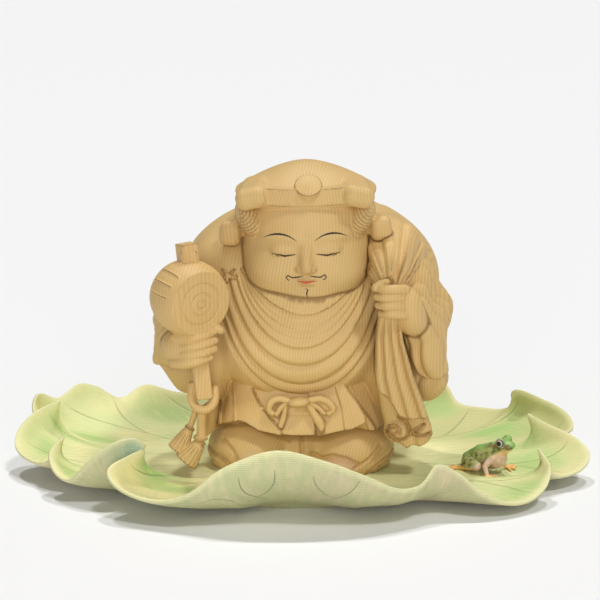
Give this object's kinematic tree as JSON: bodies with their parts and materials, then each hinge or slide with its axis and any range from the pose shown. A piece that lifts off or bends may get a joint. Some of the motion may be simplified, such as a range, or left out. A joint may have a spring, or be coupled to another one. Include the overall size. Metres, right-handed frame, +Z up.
{
  "type": "daikoku figure",
  "caption": "Carved wooden figure of a god of fortune with sack and mallet, standing on a painted lotus leaf with a tree frog.",
  "frame": {"origin": "centre of the flat underside that the leaf rests on", "axes": "+Z up, -Y towards the viewer that the figure faces, +X along the leaf's length towards the frog and the figure's left hand"},
  "size_m": [0.3482, 0.2373, 0.1936],
  "materials": {
    "natural_wood": "bare pale straight-grained wood, knife finished, with small painted details on the face",
    "painted_leaf": "thin pale green wash over carved wood, grain showing",
    "painted_frog": "painted carved wood, satin"
  },
  "bodies": {
    "root": {"daikoku_figure": "natural_wood", "lotus_leaf": "painted_leaf", "tree_frog": "painted_frog"}
  },
  "joints": []
}
